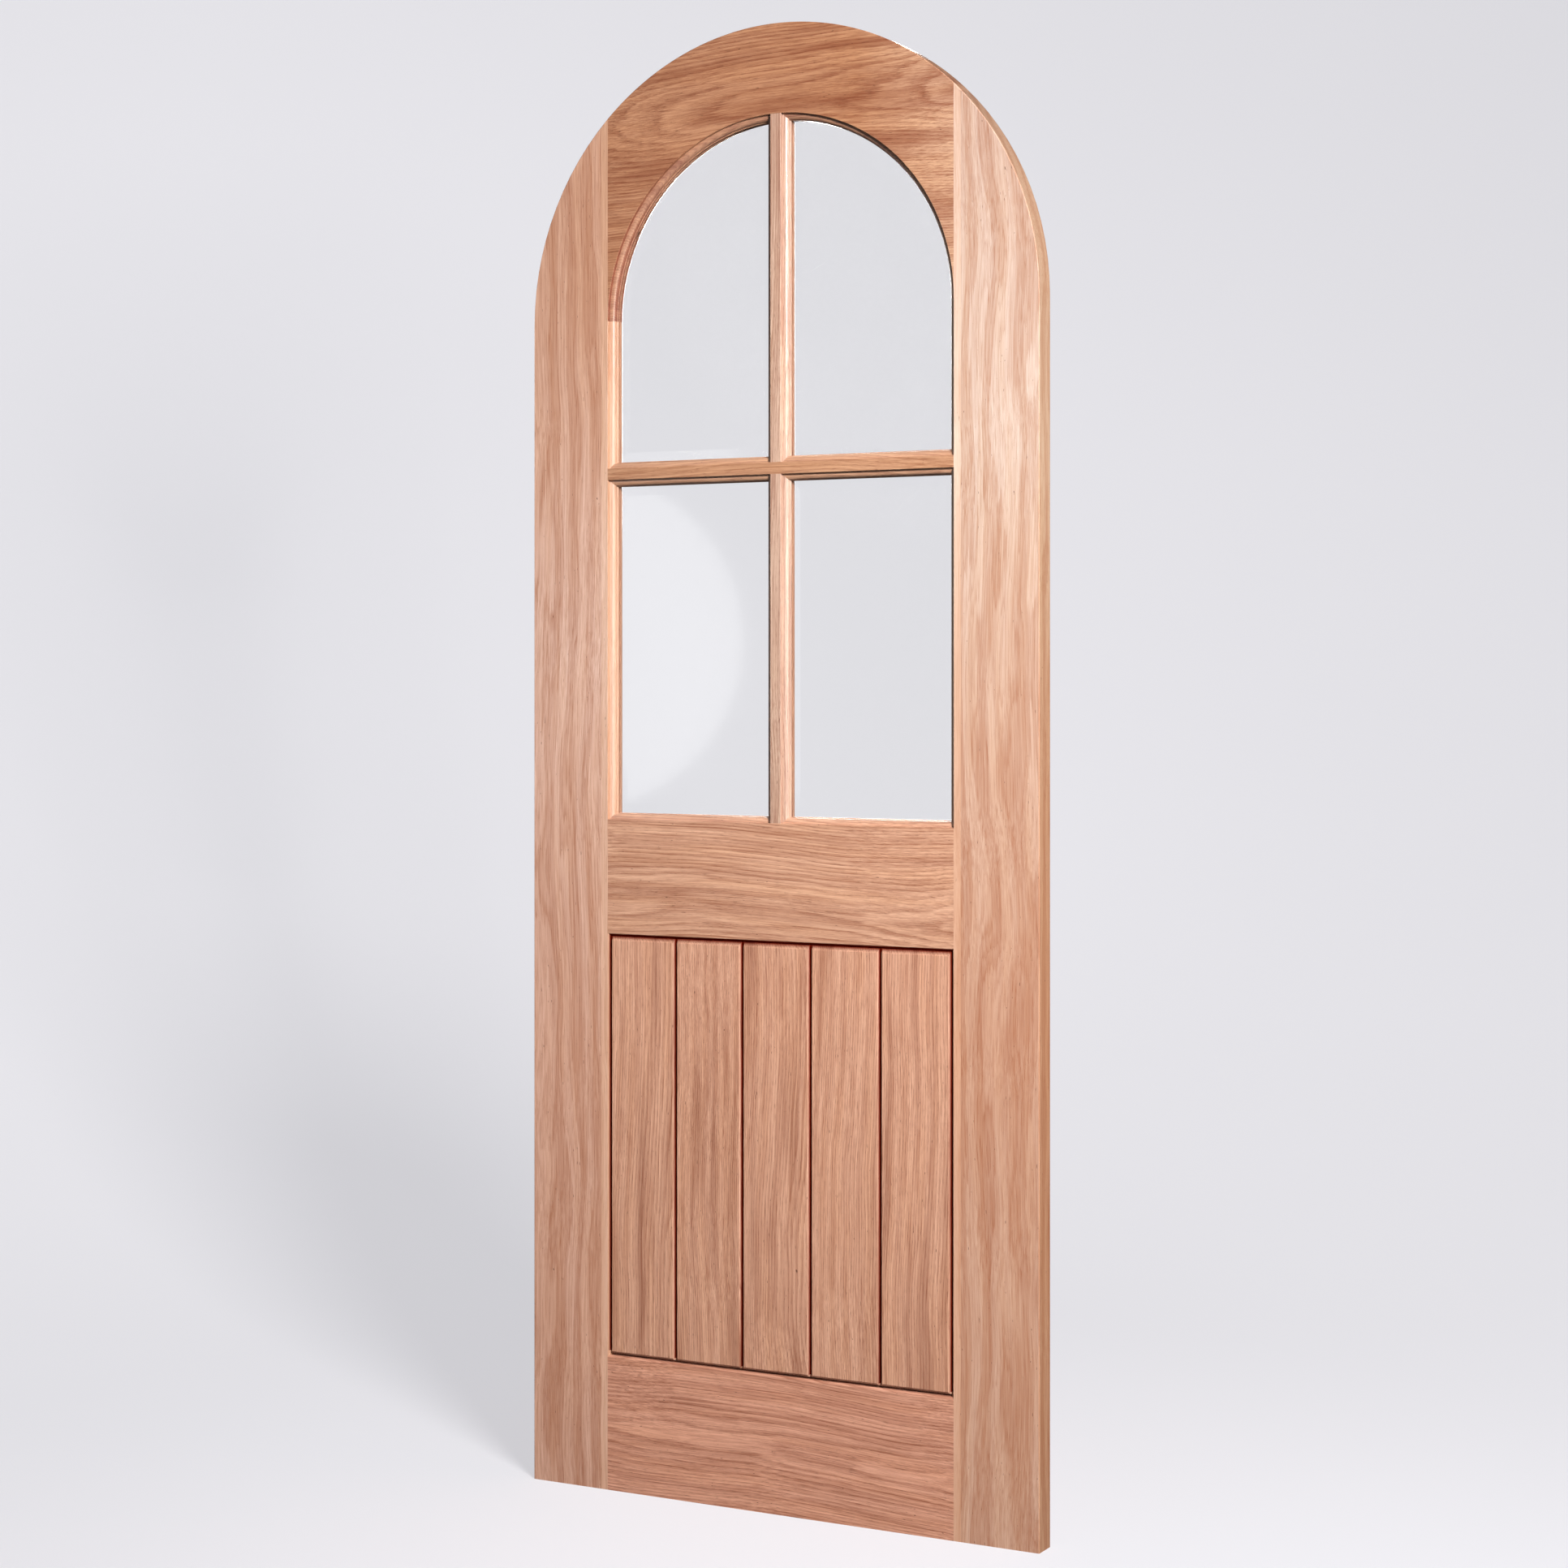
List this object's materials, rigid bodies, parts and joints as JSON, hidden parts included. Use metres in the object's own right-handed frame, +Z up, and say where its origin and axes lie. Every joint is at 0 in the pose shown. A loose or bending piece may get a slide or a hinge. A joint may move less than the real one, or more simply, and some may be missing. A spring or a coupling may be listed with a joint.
{
  "type": "arched wooden door",
  "caption": "Round-arched timber door leaf with moulded, bevel-glazed upper lights and a flush V-jointed boarded lower panel.",
  "frame": {"origin": "The middle of the foot: half way across the leaf, at mid thickness, on the bottom edge.", "axes": "+X runs across the leaf to the right as seen from the front, -Y points out of the front face, +Z points up."},
  "size_m": [0.762, 0.035, 1.9809],
  "materials": {
    "oak": "light oak, planed and clear-oiled, low sheen",
    "clear_glass": "clear, bevelled round the edge of its front face",
    "dowel_wood": "plain turned beech",
    "pin_steel": "bright drawn wire"
  },
  "bodies": {
    "root": {"stile_left": "oak", "stile_right": "oak", "head": "oak", "lock_rail": "oak", "bottom_rail": "oak", "cross_bar": "oak", "upper_bar": "oak", "lower_bar": "oak", "board_1": "oak", "board_2": "oak", "board_3": "oak", "board_4": "oak", "board_5": "oak", "glass_upper_left": "clear_glass", "glass_lower_left": "clear_glass", "glass_upper_right": "clear_glass", "glass_lower_right": "clear_glass", "bead_upper_stile_left": "oak", "bead_upper_arch_left": "oak", "bead_upper_bar_left": "oak", "bead_upper_cross_left": "oak", "bead_lower_stile_left": "oak", "bead_lower_rail_left": "oak", "bead_lower_bar_left": "oak", "bead_lower_cross_left": "oak", "bead_upper_stile_right": "oak", "bead_upper_arch_right": "oak", "bead_upper_bar_right": "oak", "bead_upper_cross_right": "oak", "bead_lower_stile_right": "oak", "bead_lower_rail_right": "oak", "bead_lower_bar_right": "oak", "bead_lower_cross_right": "oak", "head_dowels": "dowel_wood", "lock_rail_dowels": "dowel_wood", "bottom_rail_dowels": "dowel_wood", "bar_dowels": "dowel_wood", "bead_pins": "pin_steel"}
  },
  "joints": []
}
